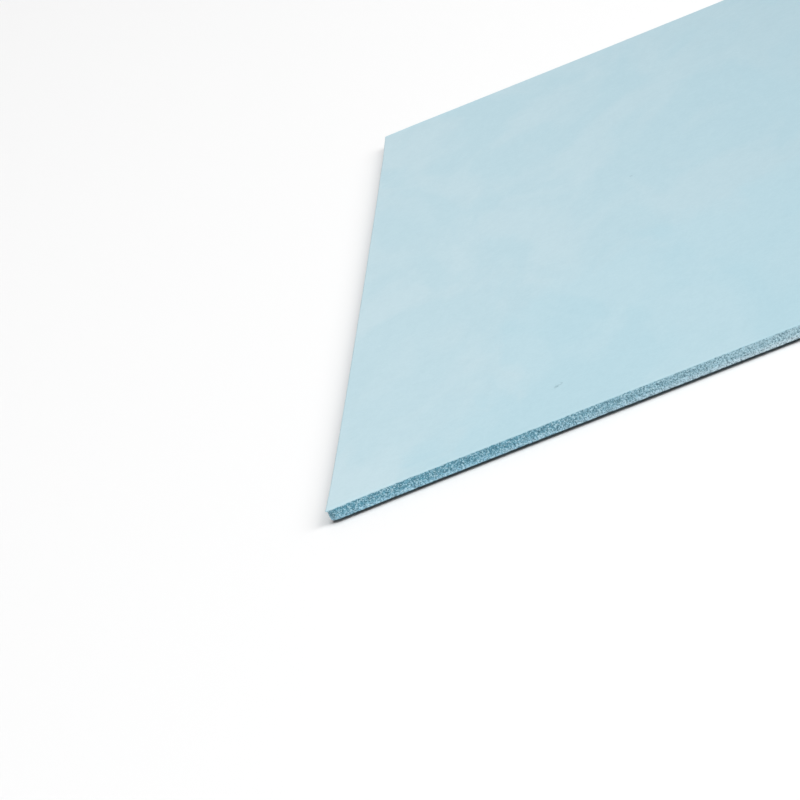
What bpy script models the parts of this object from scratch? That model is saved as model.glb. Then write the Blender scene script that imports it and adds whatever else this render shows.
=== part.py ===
"""Thermal pad sheet: one square of soft filled silicone, cast as a sheet and cut to size.

Metres, +Z up. The sheet lies flat, with the origin at the middle of its lower face and its
sides along X and Y.
"""

import math

import bmesh
import bpy

# Driving dimensions
SHEET_WIDTH = 0.145  # along X, between two cut faces
SHEET_DEPTH = 0.145  # along Y, between the other two
SHEET_THICKNESS = 0.0015  # between the two smooth broad faces
CORNER_RADIUS = 0.0005  # seen from above, where two knife cuts meet in the soft pad
RIM_RADIUS = 0.00012  # where a cut face rolls over into a broad face

# Fineness of the two roundings, and the angle above which an edge counts as a rim
CORNER_SEGMENTS = 6
RIM_SEGMENTS = 3
RIM_ANGLE = math.radians(60)

# Finish: pale blue filled silicone with a satin skin
PAD_COLOUR = (0.42, 0.64, 0.73, 1.0)
PAD_ROUGHNESS = 0.38


def clear_scene():
    for obj in list(bpy.data.objects):
        bpy.data.objects.remove(obj, do_unlink=True)


def make_collection(name):
    collection = bpy.data.collections.new(name)
    bpy.context.scene.collection.children.link(collection)
    return collection


def make_pad_material():
    material = bpy.data.materials.new("Blue filled silicone")
    material.use_nodes = True
    shader = material.node_tree.nodes["Principled BSDF"]
    shader.inputs["Base Color"].default_value = PAD_COLOUR
    shader.inputs["Roughness"].default_value = PAD_ROUGHNESS
    shader.inputs["Metallic"].default_value = 0.0
    return material


def make_slab_mesh(name):
    """A flat slab that stands on Z = 0, with its four upright edges marked for rounding."""
    form = bmesh.new()
    bmesh.ops.create_cube(form, size=1.0)
    bmesh.ops.scale(form, vec=(SHEET_WIDTH, SHEET_DEPTH, SHEET_THICKNESS), verts=form.verts)
    bmesh.ops.translate(form, vec=(0.0, 0.0, SHEET_THICKNESS / 2), verts=form.verts)
    corner_weight = form.edges.layers.float.new("bevel_weight_edge")
    for edge in form.edges:
        first, second = edge.verts
        is_upright = abs(first.co.z - second.co.z) > SHEET_THICKNESS / 2
        edge[corner_weight] = 1.0 if is_upright else 0.0
    mesh = bpy.data.meshes.new(name)
    form.to_mesh(mesh)
    form.free()
    mesh.shade_smooth()
    return mesh


def add_bevel(obj, name, width, segments):
    bevel = obj.modifiers.new(name, "BEVEL")
    bevel.width = width
    bevel.segments = segments
    bevel.harden_normals = True
    return bevel


def make_pad_sheet(collection, material):
    """The slab, its corners rounded first and then both of its rims all the way round."""
    pad = bpy.data.objects.new("pad_sheet", make_slab_mesh("pad_sheet"))
    collection.objects.link(pad)
    pad.data.materials.append(material)
    corners = add_bevel(pad, "Corner rounding", CORNER_RADIUS, CORNER_SEGMENTS)
    corners.limit_method = "WEIGHT"
    rims = add_bevel(pad, "Rim rounding", RIM_RADIUS, RIM_SEGMENTS)
    rims.limit_method = "ANGLE"
    rims.angle_limit = RIM_ANGLE
    return pad


clear_scene()
make_pad_sheet(make_collection("Thermal pad sheet"), make_pad_material())
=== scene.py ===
# %% [markdown]
# # A thermal pad sheet
#
# A thermal pad is a soft sheet of silicone, packed with ceramic powder so that heat passes through it.
# It is cast between two smooth films and then cut to size with a knife. So it has two kinds of surface:
# pale broad faces, as smooth as the films they were cast against, and cut faces that show the powder.
# This lesson loads the plain sheet from the frame and gives it those surfaces.

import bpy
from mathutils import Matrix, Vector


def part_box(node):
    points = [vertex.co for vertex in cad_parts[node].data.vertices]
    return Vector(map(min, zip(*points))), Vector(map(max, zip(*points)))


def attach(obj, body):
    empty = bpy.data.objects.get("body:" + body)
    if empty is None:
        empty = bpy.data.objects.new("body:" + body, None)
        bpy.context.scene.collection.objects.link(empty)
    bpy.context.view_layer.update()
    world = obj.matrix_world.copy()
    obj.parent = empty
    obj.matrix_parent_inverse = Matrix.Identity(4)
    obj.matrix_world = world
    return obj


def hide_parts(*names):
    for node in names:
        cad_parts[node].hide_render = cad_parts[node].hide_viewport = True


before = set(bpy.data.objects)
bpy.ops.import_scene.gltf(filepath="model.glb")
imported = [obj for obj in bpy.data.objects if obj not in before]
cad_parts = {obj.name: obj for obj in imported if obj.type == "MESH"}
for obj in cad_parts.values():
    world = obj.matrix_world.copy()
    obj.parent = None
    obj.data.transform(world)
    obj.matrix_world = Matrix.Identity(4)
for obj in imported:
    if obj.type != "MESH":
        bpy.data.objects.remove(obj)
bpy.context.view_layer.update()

# %% [markdown]
# ## Sizes
#
# The shapes below are worked out from the sheet's own box, so they follow the sheet if its size
# changes. A millimetre is named once, because a pad is thin and its details are parts of a millimetre.

# %% Sizes of the sheet
import math

import bmesh
import bpy
from mathutils import Matrix, Quaternion, Vector, noise

MM = 0.001
low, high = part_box("pad_sheet")
width, depth, thickness = high - low
middle = (low + high) / 2
print(f"sheet: {width / MM:.1f} x {depth / MM:.1f} x {thickness / MM:.2f} mm")

# %% [markdown]
# ## Camera
#
# A long lens keeps the near and the far edge of the sheet almost parallel. The camera looks down at a low
# angle, so the thin cut face shows, and it is rolled to one side, so the front edge climbs to the right.
# Aiming at a point on the upper face, counted from the near left corner, makes the framing easy to read.

# %% Camera
LENS_MM = 190.3
VIEW_DISTANCE = 3.4353 * width
VIEW_AZIMUTH = math.radians(10.673)
VIEW_ELEVATION = math.radians(17.685)
VIEW_ROLL = math.radians(-24.732)
AIM_FROM_CORNER = Vector((0.0551 * width, 0.1911 * depth, 0.0))
NEAREST_SEEN = 0.01
FURTHEST_SEEN = 20.0

near_left_corner = Vector((low.x, low.y, high.z))
aim = near_left_corner + AIM_FROM_CORNER
towards_eye = Vector((
    math.sin(VIEW_AZIMUTH) * math.cos(VIEW_ELEVATION),
    -math.cos(VIEW_AZIMUTH) * math.cos(VIEW_ELEVATION),
    math.sin(VIEW_ELEVATION),
))
camera = bpy.data.objects.new("camera", bpy.data.cameras.new("camera"))
bpy.context.scene.collection.objects.link(camera)
camera.data.lens = LENS_MM
camera.data.clip_start = NEAREST_SEEN
camera.data.clip_end = FURTHEST_SEEN
camera.location = aim + towards_eye * VIEW_DISTANCE
camera.rotation_mode = "QUATERNION"
roll = Quaternion((0.0, 0.0, 1.0), VIEW_ROLL)
camera.rotation_quaternion = (-towards_eye).to_track_quat("-Z", "Y") @ roll
bpy.context.scene.camera = camera
print("camera at", tuple(round(c, 4) for c in camera.location))

# %% [markdown]
# ## The blank
#
# The sheet's shape could be a box with noise on it, but a box has no points where the cut face needs them.
# A flat grid is a better blank. Its cells give the broad face enough points to lie a little uneven. Two cuts
# close to each side add lines where the face will sink towards its rim, and bevelling the four corner
# points rounds the corners as seen from above.

# %% A flat grid with rounded corners
FACE_CELLS = 58
SIDE_LINES = (0.6 * MM, 1.3 * MM)
CORNER_RADIUS = 0.25 * MM
CORNER_SEGMENTS = 4

body = bmesh.new()
bmesh.ops.create_grid(body, x_segments=FACE_CELLS, y_segments=FACE_CELLS, size=0.5)
bmesh.ops.scale(body, vec=(width, depth, 1.0), verts=body.verts)
bmesh.ops.translate(body, vec=(middle.x, middle.y, high.z), verts=body.verts)
for inset in SIDE_LINES:
    for side in (Vector((1.0, 0.0, 0.0)), Vector((0.0, 1.0, 0.0))):
        reach = side.x * width / 2 + side.y * depth / 2 - inset
        for end in (-1.0, 1.0):
            bmesh.ops.bisect_plane(
                body, geom=body.verts[:] + body.edges[:] + body.faces[:],
                plane_co=middle + side * reach * end, plane_no=side,
            )
corners = [vert for vert in body.verts if len(vert.link_edges) == 2]
bmesh.ops.bevel(
    body, geom=corners, offset=CORNER_RADIUS, offset_type="OFFSET", segments=CORNER_SEGMENTS,
    profile=0.5, affect="VERTICES", material=-1,
)
print("grid:", len(body.faces), "faces, cells of", round(width / FACE_CELLS / MM, 2), "mm")

# %% [markdown]
# ## Fine columns along the rim
#
# The powder in the cut face is about a tenth of a millimetre across. To model it, each edge of the rim is
# bisected into short pieces, as many as its length needs. Bisecting adds points to the edges only, so the
# broad face stays a coarse, light grid. A narrow inset ring then keeps the soft shading of the rim from
# spreading across the broad face. The ring is a little wider than the rim will later move inwards.

# %% Fine columns and an inset ring
COLUMN = 0.132 * MM
RING_WIDTH = 0.20 * MM

by_cuts = {}
for edge in body.edges:
    cuts = round(edge.calc_length() / COLUMN) - 1
    if edge.is_boundary and cuts > 0:
        by_cuts.setdefault(cuts, []).append(edge)
for cuts, edges in sorted(by_cuts.items()):
    bmesh.ops.bisect_edges(body, edges=edges, cuts=cuts)
bmesh.ops.inset_region(
    body, faces=body.faces[:], thickness=RING_WIDTH, use_boundary=True, use_even_offset=True,
)
rim = [e for e in body.edges if e.is_boundary]
print("rim:", len(rim), "columns, the widest", round(max(e.calc_length() for e in rim) / MM, 3), "mm")

# %% [markdown]
# ## The cut face, drawn down in rows
#
# Extruding the rim downwards, row by row, makes the cut face. The rows lie close together near the upper
# edge, where the knife rolled the skin over, and then evenly. Only the upper half is drawn. A mirror across
# the middle of the sheet gives the lower half and the underside, and closes the shape in one go.

# %% Rows down to the middle, then a mirror
ROLL_ROWS = (0.25, 0.6, 1.0)
ROLL_RADIUS = 0.10 * MM
PLAIN_ROWS = 5
MERGE_DISTANCE = 0.001 * MM

half = thickness / 2
depths = [share * ROLL_RADIUS for share in ROLL_ROWS]
plain_step = (half - ROLL_RADIUS) / PLAIN_ROWS
depths += [ROLL_RADIUS + plain_step * (row + 1) for row in range(PLAIN_ROWS)]


def extrude_rim(mesh, edges, height):
    """Draws the open rim down to a height, and returns the new open rim."""
    made = bmesh.ops.extrude_edge_only(mesh, edges=edges)["geom"]
    for vert in made:
        if isinstance(vert, bmesh.types.BMVert):
            vert.co.z = height
    return [e for e in made if isinstance(e, bmesh.types.BMEdge) and e.is_boundary]


for below in depths:
    rim = extrude_rim(body, rim, high.z - below)
bmesh.ops.mirror(
    body, geom=body.verts[:] + body.edges[:] + body.faces[:],
    matrix=Matrix.Translation((0.0, 0.0, -middle.z)), merge_dist=MERGE_DISTANCE, axis="Z",
)
bmesh.ops.recalc_face_normals(body, faces=body.faces)
open_edges = sum(e.is_boundary for e in body.edges)
print("closed sheet:", len(body.faces), "faces, open edges:", open_edges)

# %% [markdown]
# ## Where the skin ends
#
# The pale skin does not stop at a ruled line. The knife drags it over the upper rim, a little here and
# more there. The lower rim was pressed against the cutting mat, so it is sharper. A narrow border of the
# underside takes the cut face's finish, so that the painted shade at the foot darkens it too. Painting this
# by hand could not follow a new size, so each face is given the skin's finish or the cut face's finish by a
# rule, from its height, its normal and a noise along the rim. It is done now, while the sheet is still
# straight.

# %% Skin or cut for each face
SKIN, CUT = 0, 1
FOOT_ROLL = 0.04 * MM
SKIN_OVERLAP = 0.85
SKIN_RAG = 0.10 * MM
SKIN_RAG_LENGTH = 0.3 * MM
BROAD_FACE_NORMAL = 0.9


def side_distances(place):
    """How far a point is from the nearer side in X and from the nearer side in Y."""
    across = width / 2 - abs(place.x - middle.x)
    along = depth / 2 - abs(place.y - middle.y)
    return max(0.0, across), max(0.0, along)


def cornerness(place, reach):
    """1 at a corner of the sheet, falling smoothly to 0 at this reach from it."""
    share = max(0.0, 1.0 - math.hypot(*side_distances(place)) / reach)
    return share * share


skin_faces = 0
for face in body.faces:
    face.smooth = True
    centre = face.calc_center_median()
    rag = SKIN_RAG * noise.noise(centre / SKIN_RAG_LENGTH)
    dragged_over = high.z - centre.z < SKIN_OVERLAP * ROLL_RADIUS + rag
    # Painted shade: a narrow border of the underside takes the cut face's finish, and its painted foot shade
    # makes it near black.
    dark_underside_border = face.normal.z < -BROAD_FACE_NORMAL and min(side_distances(centre)) < SIDE_LINES[0]
    is_skin = dragged_over or abs(face.normal.z) > BROAD_FACE_NORMAL and not dark_underside_border
    face.material_index = SKIN if is_skin else CUT
    skin_faces += is_skin
print("faces with skin:", skin_faces, "and cut open:", len(body.faces) - skin_faces)

# %% [markdown]
# ## What the knife did
#
# A blade pressed through soft silicone leaves a face that is nearly straight but never quite. The sheet
# bulges under the blade and springs back, so each side is a little hollow and flares out again at its
# corners. A lattice could bend the sheet like this, but it is hard to bend by a tenth of a millimetre, so a
# short rule says how far each point of a side stands back. All that the knife does takes material away,
# so every point moves inwards and the sheet keeps its size.

# %% Hollow and flared sides
HOLLOW_X = 0.17 * MM
HOLLOW_Y = 0.15 * MM
FLARE_X = 0.25 * MM
FLARE_Y = 0.50 * MM
FLARE_X_REACH = 5.9 * MM
FLARE_Y_REACH = 12.0 * MM


def stand_back(along, half_length, hollow, flare, flare_reach):
    """How far a side stands back. The place along it runs from -1 to 1 between its corners."""
    near_corner = half_length * max(0.0, 1.0 - abs(along))
    return hollow * max(0.0, 1.0 - along * along) + flare * (1.0 - math.exp(-near_corner / flare_reach))


print("sides stand back by up to", round(max(HOLLOW_X + FLARE_X, HOLLOW_Y + FLARE_Y) / MM, 2), "mm")

# %% [markdown]
# ## Roll, wander and grain
#
# The cut wanders along its length, rolls the upper skin over and tears out grains of powder. At a corner,
# where two cuts meet, the skin keeps its sharp tip and the soft body under it is pulled back. A texture
# could fake the torn grains, but their ragged outline shows against the floor, so they are modelled.
# Blender's noise functions give the wander and the grain from a point's own place, so they repeat from run
# to run. How far a grain is torn out is also kept on the point, for the finish to darken it.

# %% Rules for the roll and the grain
GRAIN_LENGTH = 0.19 * MM
FINE_LENGTH = 0.115 * MM
FINE_SHARE = 0.5
PIT_START = 0.10
PIT_GAIN = 2.4


def roll_in(below, radius):
    """How far a rounded edge stands back at this distance from its broad face."""
    rest = max(0.0, radius - below)
    return radius - math.sqrt(radius * radius - rest * rest)


def noise_share(place):
    """Blender's noise at a place, stretched from its range of -1 to 1 to a range of 0 to 1."""
    return 0.5 + 0.5 * noise.noise(place)


def torn_share(place):
    """How deep the grain is torn out at a point of the cut face, from 0 to 1."""
    rough = noise.noise(place / GRAIN_LENGTH)
    fine = noise.noise(place / FINE_LENGTH)
    torn = (1.0 - FINE_SHARE) * rough + FINE_SHARE * fine
    return max(0.0, min(1.0, PIT_START + PIT_GAIN * torn))


print("grain at one point:", round(torn_share(near_left_corner), 2))

# %% Move every point inwards
BROAD_POINT_NORMAL = 0.95
WANDER_LENGTH = 11.0 * MM
WANDER_DEPTH = 0.04 * MM
TIP_REACH = 1.6 * MM
TIP_PULL = 0.42 * MM
TIP_SKIN = 0.35 * MM
TIP_SHARPNESS = 0.7
GRAIN_DEPTH = 0.09 * MM
RIM_GRAIN = 0.35

body.normal_update()
torn_layer = body.verts.layers.float.new("torn")
moves = []
for vert in body.verts:
    along_x = (vert.co.x - middle.x) / (width / 2)
    along_y = (vert.co.y - middle.y) / (depth / 2)
    back_x = along_x * stand_back(along_y, depth / 2, HOLLOW_X, FLARE_X, FLARE_X_REACH)
    back_y = along_y * stand_back(along_x, width / 2, HOLLOW_Y, FLARE_Y, FLARE_Y_REACH)
    at_tip = cornerness(vert.co, TIP_REACH)
    below, above = high.z - vert.co.z, vert.co.z - low.z
    pull = TIP_PULL * at_tip * min(1.0, below / TIP_SKIN)
    inwards = Vector((back_x + math.copysign(pull, along_x), back_y + math.copysign(pull, along_y), 0.0))
    if abs(vert.normal.z) <= BROAD_POINT_NORMAL:
        outward = Vector((vert.normal.x, vert.normal.y, 0.0)).normalized()
        torn = torn_share(vert.co)
        strength = RIM_GRAIN + (1.0 - RIM_GRAIN) * min(1.0, below / ROLL_RADIUS, above / FOOT_ROLL)
        flat_place = Vector((vert.co.x, vert.co.y, 0.0))
        wander = WANDER_DEPTH * noise_share(flat_place / WANDER_LENGTH)
        rolled = roll_in(below, ROLL_RADIUS) * (1.0 - TIP_SHARPNESS * at_tip) + roll_in(above, FOOT_ROLL)
        inwards += outward * (rolled + wander + GRAIN_DEPTH * strength * torn)
        vert[torn_layer] = torn * strength
    moves.append((vert, inwards))
for vert, move in moves:
    vert.co -= move
print("furthest point moved inwards by", round(max(m.length for _, m in moves) / MM, 3), "mm")

# %% [markdown]
# ## The broad faces
#
# A cast skin is flat to the eye but not to a reflection. It lies in swells of 0.02 mm, too faint for a
# sculpting brush and too wide for a bump, so a noise moves each point. It sinks a little towards the rims,
# where the blade pulled it down, and sinks most at the corners. One rule moves every point down, and a
# point on the cut face moves by its share of the height, so the underside stays flat. A narrow band beside
# each cut gets a painted highlight, a paler cyan that stands in for light on the rolled rim. How near a
# point is to the rim is kept on it as the rim highlight value, for the skin's finish to use.

# %% Swells, sunk rims and the painted rim highlight
SWELL_LENGTH = 24.0 * MM
SWELL_DEPTH = 0.02 * MM
RIM_REACH = 2.4 * MM
RIM_SAG = 0.015 * MM
CORNER_SAG_REACH = 7.0 * MM
CORNER_SAG = 0.09 * MM
RIM_HIGHLIGHT_AT_X_SIDES = 0.25 * MM
RIM_HIGHLIGHT_AT_Y_SIDES = 1.10 * MM


def rim_share(place):
    """1 at a side of the sheet, falling smoothly to 0 at a short distance from it."""
    share = max(0.0, 1.0 - min(side_distances(place)) / RIM_REACH)
    return share * share


rim_highlight_layer = body.verts.layers.float.new("rim_highlight")
for vert in body.verts:
    across, along = side_distances(vert.co)
    # Painted highlight: this value paints the skin paler cyan beside each cut, as if the rolled rim caught
    # the light.
    vert[rim_highlight_layer] = max(0.0, 1.0 - across / RIM_HIGHLIGHT_AT_X_SIDES, 1.0 - along / RIM_HIGHLIGHT_AT_Y_SIDES)
    flat_place = Vector((vert.co.x, vert.co.y, 0.0))
    height_share = (vert.co.z - low.z) / thickness
    at_rim = rim_share(vert.co)
    swell = SWELL_DEPTH * noise_share(flat_place / SWELL_LENGTH)
    sink = swell * (1.0 - at_rim) + RIM_SAG * at_rim + CORNER_SAG * cornerness(vert.co, CORNER_SAG_REACH)
    vert.co.z -= sink * height_share
heights = [vert.co.z / MM for vert in body.verts]
print("sheet now from", round(min(heights), 3), "to", round(max(heights), 3), "mm")

# %% [markdown]
# ## One finished piece
#
# A bmesh is only a workbench. Its result becomes the mesh of one object, which takes the plain sheet's
# place in the frame. The real sheet is one piece of stock, so this is one object and not a stack of parts.
# Insetting and extruding leave the faces in an order that changes from run to run. The shape is the same,
# but a lesson should repeat exactly, so the faces are first sorted by where they lie.

# %% Sort the faces
LEFT_TO_RIGHT = 1e6
FRONT_TO_BACK = 1e3


def reading_order(face):
    """A number that grows from left to right, far less from front to back, and least of all upwards."""
    centre = face.calc_center_median()
    return centre.x * LEFT_TO_RIGHT + centre.y * FRONT_TO_BACK + centre.z


body.faces.sort(key=reading_order)
print("sorted", len(body.faces), "faces")

# %% Make the piece
mesh = bpy.data.meshes.new("thermal_pad")
body.to_mesh(mesh)
body.free()
pad = bpy.data.objects.new("thermal_pad", mesh)
bpy.context.scene.collection.objects.link(pad)
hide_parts("pad_sheet")
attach(pad, "root")
triangles = sum(len(polygon.vertices) - 2 for polygon in mesh.polygons)
print("thermal_pad:", triangles, "triangles")

# %% [markdown]
# ## Node helpers
#
# Both finishes are built from the same few nodes, and writing each one out in full would hide the pattern.
# Small helpers keep it short. They add a node, do a sum, stretch a range of values, mix two colours, and
# start or place a node group with named sockets.


# %% Helpers for single nodes
MIX_COLOURS_IN = (6, 7)
MIX_COLOUR_OUT = 2


def add_node(tree, kind, settings=None, **sockets):
    """Adds a node. Settings go on the node, and the other names set its input sockets."""
    node = tree.nodes.new(kind)
    for name, value in (settings or {}).items():
        setattr(node, name, value)
    for name, value in sockets.items():
        node.inputs[name.replace("_", " ")].default_value = value
    return node


def add_math(tree, operation, *values):
    """A Math node. Each value is a number or a socket."""
    node = add_node(tree, "ShaderNodeMath", {"operation": operation})
    for index, value in enumerate(values):
        if isinstance(value, bpy.types.NodeSocket):
            tree.links.new(value, node.inputs[index])
        else:
            node.inputs[index].default_value = value
    return node.outputs[0]


def remap(tree, value, from_low, from_high, to_low=0.0, to_high=1.0):
    """A Map Range node: the value's range is stretched to the new one, and held inside it."""
    node = add_node(
        tree, "ShaderNodeMapRange", From_Min=from_low, From_Max=from_high, To_Min=to_low, To_Max=to_high,
    )
    tree.links.new(value, node.inputs["Value"])
    return node.outputs["Result"]


def mix_colour(tree, share, first, second):
    """A Mix node from one colour to another. Each colour is three numbers or a socket."""
    mix = add_node(tree, "ShaderNodeMix", {"data_type": "RGBA"})
    tree.links.new(share, mix.inputs["Factor"])
    for colour, index in zip((first, second), MIX_COLOURS_IN):
        if isinstance(colour, bpy.types.NodeSocket):
            tree.links.new(colour, mix.inputs[index])
        else:
            mix.inputs[index].default_value = (*colour, 1.0)
    return mix.outputs[MIX_COLOUR_OUT]


print("helpers for single nodes are ready")


# %% Helpers for node groups
def new_group(name, inputs, outputs):
    """Starts a node group with number sockets, and returns it with its two end nodes."""
    group = bpy.data.node_groups.new(name, "ShaderNodeTree")
    for label, value in inputs.items():
        socket = group.interface.new_socket(label, in_out="INPUT", socket_type="NodeSocketFloat")
        socket.default_value = value
    for label in outputs:
        group.interface.new_socket(label, in_out="OUTPUT", socket_type="NodeSocketFloat")
    return group, group.nodes.new("NodeGroupInput"), group.nodes.new("NodeGroupOutput")


def add_group(tree, group, **values):
    """Places a node group in a material, with its own values on the group's sockets."""
    node = tree.nodes.new("ShaderNodeGroup")
    node.node_tree = group
    for label, value in values.items():
        node.inputs[label.replace("_", " ")].default_value = value
    return node


print("helpers for node groups are ready")

# %% [markdown]
# ## Powder grain
#
# The powder is a mix of grains, some pale and some lying in a small dark pit. A picture of them would
# repeat and blur up close, so two noises of unlike size make them, and Map Range nodes cut the sum of the
# two into pale specks and dark specks. Both finishes use it: strongly where the knife opened the sheet,
# faintly under the skin. So it is a node group, built once.

# %% Powder grain node group
powder, enters, leaves = new_group(
    "Powder grain", {"Fine scale": 6000.0, "Coarse scale": 2500.0}, ("Pale", "Dark", "Height"),
)
COARSE_WEIGHT = 0.45
GRAIN_DETAIL = 2.0
GRAIN_ROUGHNESS = 0.6
PALE_RANGE = (0.51, 0.59)
DARK_RANGE = (0.49, 0.41)
place = add_node(powder, "ShaderNodeTexCoord")
noises = []
for label in ("Fine scale", "Coarse scale"):
    texture = add_node(powder, "ShaderNodeTexNoise", Detail=GRAIN_DETAIL, Roughness=GRAIN_ROUGHNESS)
    powder.links.new(place.outputs["Object"], texture.inputs["Vector"])
    powder.links.new(enters.outputs[label], texture.inputs["Scale"])
    noises.append(texture.outputs["Fac"])
fine_part = add_math(powder, "MULTIPLY", noises[0], 1.0 - COARSE_WEIGHT)
both = add_math(powder, "MULTIPLY_ADD", noises[1], COARSE_WEIGHT, fine_part)
powder.links.new(remap(powder, both, *PALE_RANGE), leaves.inputs["Pale"])
powder.links.new(remap(powder, both, *DARK_RANGE), leaves.inputs["Dark"])
powder.links.new(both, leaves.inputs["Height"])
print("group:", powder.name)

# %% [markdown]
# ## Clouds
#
# Where the paste was spread, the skin is a touch greyer or bluer, in patches drawn out along the sheet with
# edges that are soft here and clear there. Fainter marks of the same kind are smaller. One stretched noise
# makes both, with sockets for its size and for how clear its edges are, and the material decides how much
# they may show.

# %% Cloud node group
clouds, enters, leaves = new_group(
    "Clouds", {"Scale": 60.0, "Detail": 4.0, "Low": 0.32, "High": 0.68}, ("Clouds",),
)
STRETCH_ALONG_Y = 0.5
CLOUD_ROUGHNESS = 0.55
CLOUD_DISTORTION = 0.8
place = add_node(clouds, "ShaderNodeTexCoord")
drawn = add_node(clouds, "ShaderNodeMapping", Scale=(1.0, STRETCH_ALONG_Y, 1.0))
clouds.links.new(place.outputs["Object"], drawn.inputs["Vector"])
slow = add_node(
    clouds, "ShaderNodeTexNoise", Roughness=CLOUD_ROUGHNESS, Distortion=CLOUD_DISTORTION,
)
clouds.links.new(drawn.outputs["Vector"], slow.inputs["Vector"])
for label in ("Scale", "Detail"):
    clouds.links.new(enters.outputs[label], slow.inputs[label])
shown = add_node(clouds, "ShaderNodeMapRange")
clouds.links.new(slow.outputs["Fac"], shown.inputs["Value"])
clouds.links.new(enters.outputs["Low"], shown.inputs["From Min"])
clouds.links.new(enters.outputs["High"], shown.inputs["From Max"])
clouds.links.new(shown.outputs["Result"], leaves.inputs["Clouds"])
print("group:", clouds.name)

# %% [markdown]
# ## Flecks
#
# Here and there a grain sits right in the skin, or dust has settled on it. A Voronoi texture drops one point
# in each of its cells. The distance to it makes a round fleck, and the cell's random colour decides whether
# that cell has one at all.

# %% Fleck node group
flecks, enters, leaves = new_group(
    "Flecks", {"Scale": 300.0, "Radius": 0.08, "Share": 0.4}, ("Flecks",),
)
FLECK_EDGE = (1.0, 0.4)
place = add_node(flecks, "ShaderNodeTexCoord")
cells = add_node(flecks, "ShaderNodeTexVoronoi")
flecks.links.new(place.outputs["Object"], cells.inputs["Vector"])
flecks.links.new(enters.outputs["Scale"], cells.inputs["Scale"])
nearness = add_math(flecks, "DIVIDE", cells.outputs["Distance"], enters.outputs["Radius"])
spot = remap(flecks, nearness, *FLECK_EDGE)
chance = add_node(flecks, "ShaderNodeSeparateColor")
flecks.links.new(cells.outputs["Color"], chance.inputs["Color"])
chosen = add_math(flecks, "LESS_THAN", chance.outputs["Red"], enters.outputs["Share"])
flecks.links.new(add_math(flecks, "MULTIPLY", spot, chosen), leaves.inputs["Flecks"])
print("group:", flecks.name)

# %% [markdown]
# ## The skin
#
# The cast skin is pale blue and satin. Much of its paleness is the soft light that it mirrors at a low
# angle, so its colour underneath is deeper than it looks. Its colour is painted greyer towards the left and
# front of the sheet and purer blue away from there, a painted sheen for the stronger light mirrored at that
# end, with small faint marks in it. One flat colour would look like plastic film, and a painted picture
# would have to be stored, so the colour is mixed from a place's own numbers.

# %% Skin material and its painted sheen
SKIN_BLUE = (0.340, 0.517, 0.589)
SKIN_SHEEN_AND_MARK_GREY = (0.469, 0.631, 0.688)
# Painted sheen: the skin is painted greyer towards the left and front, standing in for the brighter light it
# mirrors there.
SHEEN_TOWARDS = (-0.93, -0.37, 0.0)
SHEEN_RANGE = (-0.012, 0.121)
MARK_WEIGHT = 0.10
MARKS = {"Scale": 300.0, "Detail": 3.0}

skin = bpy.data.materials.new("cast_skin")
skin.use_nodes = True
tree = skin.node_tree
shader = tree.nodes["Principled BSDF"]
place = add_node(tree, "ShaderNodeTexCoord")
sheen_direction = add_node(tree, "ShaderNodeVectorMath", {"operation": "DOT_PRODUCT"})
tree.links.new(place.outputs["Object"], sheen_direction.inputs[0])
sheen_direction.inputs[1].default_value = SHEEN_TOWARDS
painted_sheen = remap(tree, sheen_direction.outputs["Value"], *SHEEN_RANGE)
marks = add_group(tree, clouds, **MARKS).outputs["Clouds"]
marked = remap(tree, marks, 0.0, 1.0, -MARK_WEIGHT / 2, MARK_WEIGHT / 2)
sheen_and_marks = add_math(tree, "ADD", painted_sheen, marked)
base_colour = mix_colour(tree, sheen_and_marks, SKIN_BLUE, SKIN_SHEEN_AND_MARK_GREY)
print("material:", skin.name)

# %% [markdown]
# ## Clear patches
#
# Where less powder rose to the skin it is clearer, in faint patches all over. One large patch at the front
# is bluer too. It is partly such a mark and partly painted sheen: the greyer skin left of its edge stands in
# for stronger mirrored light. The large one has a leaning side and a back, which two Map Range nodes draw
# from the place. Adding a cloud noise to the place first makes both of its edges ragged, as spread paste
# leaves them.

# %% Faint patches and the large front patch
PATCHES = {"Scale": 70.0, "Detail": 4.0, "Low": 0.44, "High": 0.58}
RAGGED = {"Scale": 95.0, "Detail": 5.0, "Low": 0.0, "High": 1.0}
PATCH_SIDE = low.x + 0.090 * width
PATCH_LEAN = 0.30
PATCH_BACK = low.y + 0.36 * depth
PATCH_RAG = 40.0 * MM
PATCH_SIDE_SOFTNESS = 2.5 * MM
PATCH_BACK_SOFTNESS = 5.0 * MM

patches = add_group(tree, clouds, **PATCHES).outputs["Clouds"]
ragged = add_group(tree, clouds, **RAGGED).outputs["Clouds"]
parts = add_node(tree, "ShaderNodeSeparateXYZ")
tree.links.new(place.outputs["Object"], parts.inputs["Vector"])
rag_x = add_math(tree, "MULTIPLY_ADD", ragged, PATCH_RAG, parts.outputs["X"])
rag_y = add_math(tree, "MULTIPLY_ADD", ragged, PATCH_RAG, parts.outputs["Y"])
leaning_x = add_math(tree, "MULTIPLY_ADD", parts.outputs["Y"], -PATCH_LEAN, rag_x)
side = PATCH_SIDE - PATCH_LEAN * low.y + PATCH_RAG / 2
back = PATCH_BACK + PATCH_RAG / 2
right_of_side = remap(tree, leaning_x, side - PATCH_SIDE_SOFTNESS, side + PATCH_SIDE_SOFTNESS)
before_back = remap(tree, rag_y, back + PATCH_BACK_SOFTNESS, back - PATCH_BACK_SOFTNESS)
# Partly a mark and partly painted sheen: the skin left of this patch keeps the greyer painted sheen.
front_patch = add_math(tree, "MULTIPLY", right_of_side, before_back)
print("front patch starts", round((PATCH_SIDE - low.x) / MM, 1), "mm from the left side")

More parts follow.
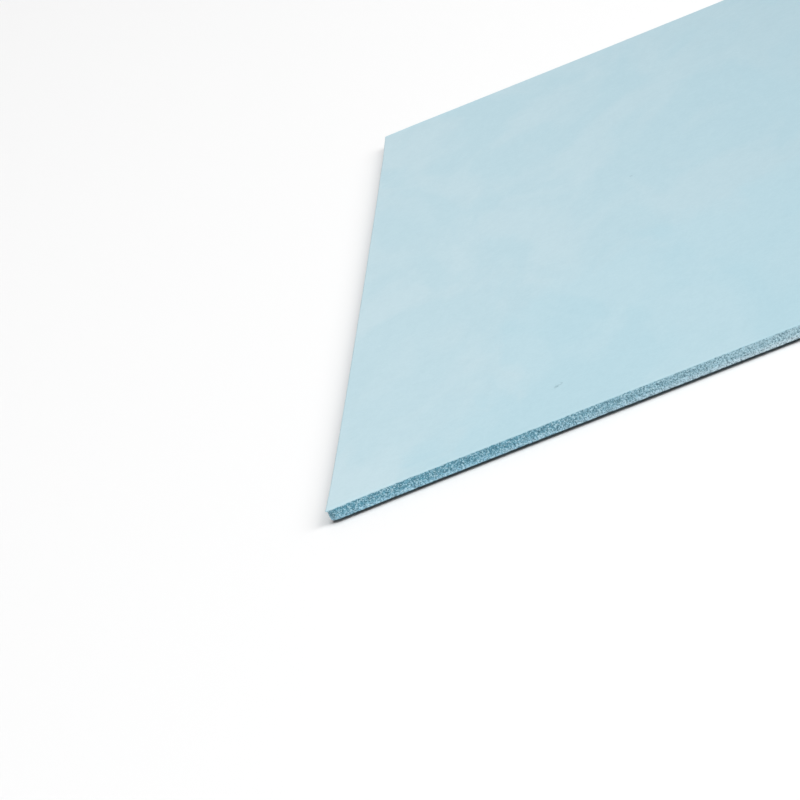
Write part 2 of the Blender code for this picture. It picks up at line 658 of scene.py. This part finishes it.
# %% [markdown]
# ## Grain, flecks and a scuff
#
# The powder shows through the skin as a faint peppering, a few larger grains sit right in it, and one small
# scuff marks the front. A turned and scaled Mapping node makes the scuff an ellipse around its own place,
# and the grain's height breaks its edge up.

# %% Grain, flecks and scuff
GRAIN_SCALES = {"Fine_scale": 3600.0, "Coarse_scale": 900.0}
PALE_FLECKS = {"Scale": 420.0, "Radius": 0.11, "Share": 0.35}
DARK_FLECKS = {"Scale": 110.0, "Radius": 0.035, "Share": 0.22}
SCUFF_PLACE = (low.x + 0.195 * width, low.y + 0.0785 * depth, high.z)
SCUFF_HALF_SIZE = (0.80 * MM, 0.50 * MM, 1.0)
SCUFF_TURN = math.radians(30.0)
SCUFF_RAG = 4.0
SCUFF_EDGE = (0.9, 0.4)

grain = add_group(tree, powder, **GRAIN_SCALES)
pale_flecks = add_group(tree, flecks, **PALE_FLECKS).outputs["Flecks"]
dark_flecks = add_group(tree, flecks, **DARK_FLECKS).outputs["Flecks"]
around_scuff = add_node(
    tree, "ShaderNodeMapping", {"vector_type": "TEXTURE"},
    Location=SCUFF_PLACE, Rotation=(0.0, 0.0, SCUFF_TURN), Scale=SCUFF_HALF_SIZE,
)
tree.links.new(place.outputs["Object"], around_scuff.inputs["Vector"])
from_scuff = add_node(tree, "ShaderNodeVectorMath", {"operation": "LENGTH"})
tree.links.new(around_scuff.outputs["Vector"], from_scuff.inputs[0])
ragged_way = add_math(
    tree, "MULTIPLY_ADD", grain.outputs["Height"], SCUFF_RAG, from_scuff.outputs["Value"],
)
mean_rag = SCUFF_RAG / 2
scuff = remap(tree, ragged_way, mean_rag + SCUFF_EDGE[0], mean_rag + SCUFF_EDGE[1])
print("scuff at", tuple(round(c / MM, 1) for c in SCUFF_PLACE), "mm")

# %% [markdown]
# ## The skin's layers
#
# Each effect is now a mask, and each mask lays a thin coat of its own colour over the coats before it. The
# rim highlight value paints a pale cyan highlight beside the cuts, where the rolled rim catches the light.
# The skin is a little rougher where it is clear, and a very small bump breaks the mirror image up.

# %% Layers, roughness and bump of the skin
SKIN_PATCH_BLUE = (0.320, 0.557, 0.645)
SKIN_RIM_HIGHLIGHT = (0.400, 0.690, 0.790)
SPECK_PALE = (0.620, 0.760, 0.800)
SPECK_DARK = (0.150, 0.300, 0.370)
PATCHES_SHOW = 0.14
FRONT_PATCH_SHOWS = 0.32
RIM_HIGHLIGHT_SHOWS = 0.38
PALE_GRAIN_SHOWS = 0.05
DARK_GRAIN_SHOWS = 0.04
PALE_FLECKS_SHOW = 0.12
DARK_FLECKS_SHOW = 0.40
SCUFF_SHOWS = 0.70
SKIN_ROUGHNESS = (0.30, 0.38)
SKIN_BUMP = 0.12
SKIN_BUMP_HEIGHT = 0.01 * MM


def add_layers(tree, colour, layers):
    """Lays coats over a colour. Each coat is a mask, how much of it shows, and its own colour."""
    for mask, shows, tint in layers:
        colour = mix_colour(tree, add_math(tree, "MULTIPLY", mask, shows), colour, tint)
    return colour


rim_highlight = add_node(tree, "ShaderNodeAttribute", {"attribute_name": "rim_highlight"})
skin_colour = add_layers(tree, base_colour, (
    (patches, PATCHES_SHOW, SKIN_PATCH_BLUE),
    (front_patch, FRONT_PATCH_SHOWS, SKIN_PATCH_BLUE),
    # Painted highlight: a paler cyan beside each cut, standing in for light on the rolled rim.
    (rim_highlight.outputs["Fac"], RIM_HIGHLIGHT_SHOWS, SKIN_RIM_HIGHLIGHT),
    (grain.outputs["Pale"], PALE_GRAIN_SHOWS, SPECK_PALE),
    (grain.outputs["Dark"], DARK_GRAIN_SHOWS, SPECK_DARK),
    (pale_flecks, PALE_FLECKS_SHOW, SPECK_PALE),
    (dark_flecks, DARK_FLECKS_SHOW, SPECK_DARK),
    (scuff, SCUFF_SHOWS, SPECK_DARK),
))
tree.links.new(skin_colour, shader.inputs["Base Color"])
tree.links.new(remap(tree, patches, 0.0, 1.0, *SKIN_ROUGHNESS), shader.inputs["Roughness"])
bump = add_node(tree, "ShaderNodeBump", Strength=SKIN_BUMP, Distance=SKIN_BUMP_HEIGHT)
tree.links.new(grain.outputs["Height"], bump.inputs["Height"])
tree.links.new(bump.outputs["Normal"], shader.inputs["Normal"])
print("skin nodes:", len(tree.nodes))

# %% [markdown]
# ## The cut face
#
# Where the knife opened the sheet there is no skin, so it is rougher, deeper in colour and peppered with
# grains. Towards its foot it is painted paler, a painted bounce of light from the floor below. Along the
# sheet it is painted paler from left to right, painted light from the right. Object coordinates hold a
# point's place in metres, so its height and its X can say both, where a picture of the face would need a
# seam and a map.

# %% Cut face material and its broad colours
CUT_BLUE = (0.125, 0.395, 0.532)
# The three paler colours below are painted light: the cut face lit by bounce from the floor at its foot, and
# lit from the right.
CUT_BOUNCE_LIT = (0.360, 0.700, 0.880)
CUT_LIT_RIGHT = (0.560, 0.760, 0.830)
CUT_LIT_RIGHT_BOUNCE = (0.860, 0.940, 0.960)
BOUNCE_LIGHT_FROM = 0.45 * thickness
BOUNCE_LIGHT_TO = 0.14 * thickness
RIGHT_LIGHT_FROM = low.x + 0.14 * width
RIGHT_LIGHT_TO = low.x + 0.42 * width
RIGHT_LIGHT_SHARE = 0.76

cut = bpy.data.materials.new("cut_face")
cut.use_nodes = True
tree = cut.node_tree
shader = tree.nodes["Principled BSDF"]
place = add_node(tree, "ShaderNodeTexCoord")
parts = add_node(tree, "ShaderNodeSeparateXYZ")
tree.links.new(place.outputs["Object"], parts.inputs["Vector"])
# Painted light: the cut face is painted paler towards its foot, standing in for light bounced up from the
# floor.
painted_bounce_light = remap(tree, parts.outputs["Z"], low.z + BOUNCE_LIGHT_FROM, low.z + BOUNCE_LIGHT_TO)
# Painted light: the cut face is painted paler towards the right, standing in for light from that side.
painted_right_light = remap(tree, parts.outputs["X"], RIGHT_LIGHT_FROM, RIGHT_LIGHT_TO, 0.0, RIGHT_LIGHT_SHARE)
left_colour = mix_colour(tree, painted_bounce_light, CUT_BLUE, CUT_BOUNCE_LIT)
right_colour = mix_colour(tree, painted_bounce_light, CUT_LIT_RIGHT, CUT_LIT_RIGHT_BOUNCE)
broad_colour = mix_colour(tree, painted_right_light, left_colour, right_colour)
print("material:", cut.name)

# %% [markdown]
# ## Grain of the cut face
#
# The powder shows here at full strength. The torn value, kept on the points while the mesh was made, paints
# shade into the real pits, so colour and shape agree. The sharp lower rim and a narrow border of the
# underside are painted near black, a painted contact shadow along the foot of the cut face.

# %% Layers, roughness and bump of the cut face
GRAIN_PALE = (0.640, 0.860, 0.930)
DARK_GRAIN_AND_PIT_SHADE = (0.040, 0.130, 0.180)
# The colour below is painted shadow for the foot of the cut face.
CUT_FOOT_SHADE = (0.010, 0.045, 0.070)
CUT_GRAIN_SCALES = {"Fine_scale": 7600.0, "Coarse_scale": 4400.0}
FOOT_SHADE_HEIGHT = 0.05 * MM
CUT_DARK_GRAIN_SHOWS = 0.75
PIT_SHADE_SHOWS = 0.50
CUT_PALE_GRAIN_SHOWS = 0.70
FOOT_SHADE_SHOWS = 1.0
CUT_ROUGHNESS = 0.60
CUT_BUMP = 0.7
CUT_BUMP_HEIGHT = 0.06 * MM

grain = add_group(tree, powder, **CUT_GRAIN_SCALES)
torn = add_node(tree, "ShaderNodeAttribute", {"attribute_name": "torn"})
foot = remap(tree, parts.outputs["Z"], low.z + FOOT_SHADE_HEIGHT, low.z + FOOT_SHADE_HEIGHT / 2)
cut_colour = add_layers(tree, broad_colour, (
    (grain.outputs["Dark"], CUT_DARK_GRAIN_SHOWS, DARK_GRAIN_AND_PIT_SHADE),
    # Painted shade: the torn value darkens the pits by their depth, as if shade lay in them.
    (torn.outputs["Fac"], PIT_SHADE_SHOWS, DARK_GRAIN_AND_PIT_SHADE),
    (grain.outputs["Pale"], CUT_PALE_GRAIN_SHOWS, GRAIN_PALE),
    # Painted shadow: the foot of the cut face and the underside border are painted near black.
    (foot, FOOT_SHADE_SHOWS, CUT_FOOT_SHADE),
))
tree.links.new(cut_colour, shader.inputs["Base Color"])
shader.inputs["Roughness"].default_value = CUT_ROUGHNESS
bump = add_node(tree, "ShaderNodeBump", Strength=CUT_BUMP, Distance=CUT_BUMP_HEIGHT)
tree.links.new(grain.outputs["Height"], bump.inputs["Height"])
tree.links.new(bump.outputs["Normal"], shader.inputs["Normal"])
mesh.materials.append(skin)
mesh.materials.append(cut)
print("cut face nodes:", len(tree.nodes))

# %% [markdown]
# ## Floor and light
#
# A plain pale floor and soft light leave the sheet to speak for itself. The floor lies a fraction of a
# millimetre under the sheet, so that the shadow in the gap draws a thin dark line below the cut face. The
# key panel stands to the right and a broad one overhead. Two weak panels behind are what the skin mirrors at
# this low angle, which gives the pale sheen. A pale world fills the rest.

# %% Floor
FLOOR_SIZE = 6.0
FLOOR_GAP = 0.36 * MM
FLOOR_WHITE = (0.85, 0.85, 0.85, 1.0)
FLOOR_ROUGHNESS = 0.8

floor_mesh = bmesh.new()
bmesh.ops.create_grid(floor_mesh, x_segments=1, y_segments=1, size=FLOOR_SIZE / 2)
bmesh.ops.translate(floor_mesh, vec=(middle.x, middle.y, low.z - FLOOR_GAP), verts=floor_mesh.verts)
floor_data = bpy.data.meshes.new("floor")
floor_mesh.to_mesh(floor_data)
floor_mesh.free()
floor = bpy.data.objects.new("floor", floor_data)
bpy.context.scene.collection.objects.link(floor)
paper = bpy.data.materials.new("pale_floor")
paper.use_nodes = True
paper_shader = paper.node_tree.nodes["Principled BSDF"]
paper_shader.inputs["Base Color"].default_value = FLOOR_WHITE
paper_shader.inputs["Roughness"].default_value = FLOOR_ROUGHNESS
floor_data.materials.append(paper)
print("floor lies", round(FLOOR_GAP / MM, 2), "mm below the sheet")

# %% Light
WORLD_WHITE = (1.0, 1.0, 1.0, 1.0)
WORLD_STRENGTH = 0.25
PANELS = (
    ("key_panel", 0.9, (0.95, -0.45, 0.80), 13.7),
    ("top_panel", 1.4, (-0.10, 0.10, 1.40), 13.4),
    ("back_left_panel", 0.8, (-0.45, 0.95, 0.50), 0.45),
    ("back_middle_panel", 0.8, (-0.05, 1.05, 0.50), 0.96),
)


def add_panel(name, size, place, watts):
    """A square soft panel that faces the middle of the sheet."""
    data = bpy.data.lights.new(name, "AREA")
    data.shape = "SQUARE"
    data.size = size
    data.energy = watts
    panel = bpy.data.objects.new(name, data)
    bpy.context.scene.collection.objects.link(panel)
    panel.location = place
    panel.rotation_mode = "QUATERNION"
    panel.rotation_quaternion = (middle - Vector(place)).to_track_quat("-Z", "Y")


for panel in PANELS:
    add_panel(*panel)
world = bpy.data.worlds.new("pale_world")
bpy.context.scene.world = world
world.use_nodes = True
background = world.node_tree.nodes["Background"]
background.inputs["Color"].default_value = WORLD_WHITE
background.inputs["Strength"].default_value = WORLD_STRENGTH
bpy.context.scene.view_settings.view_transform = "Standard"
print("light:", len(PANELS), "panels and a pale world")
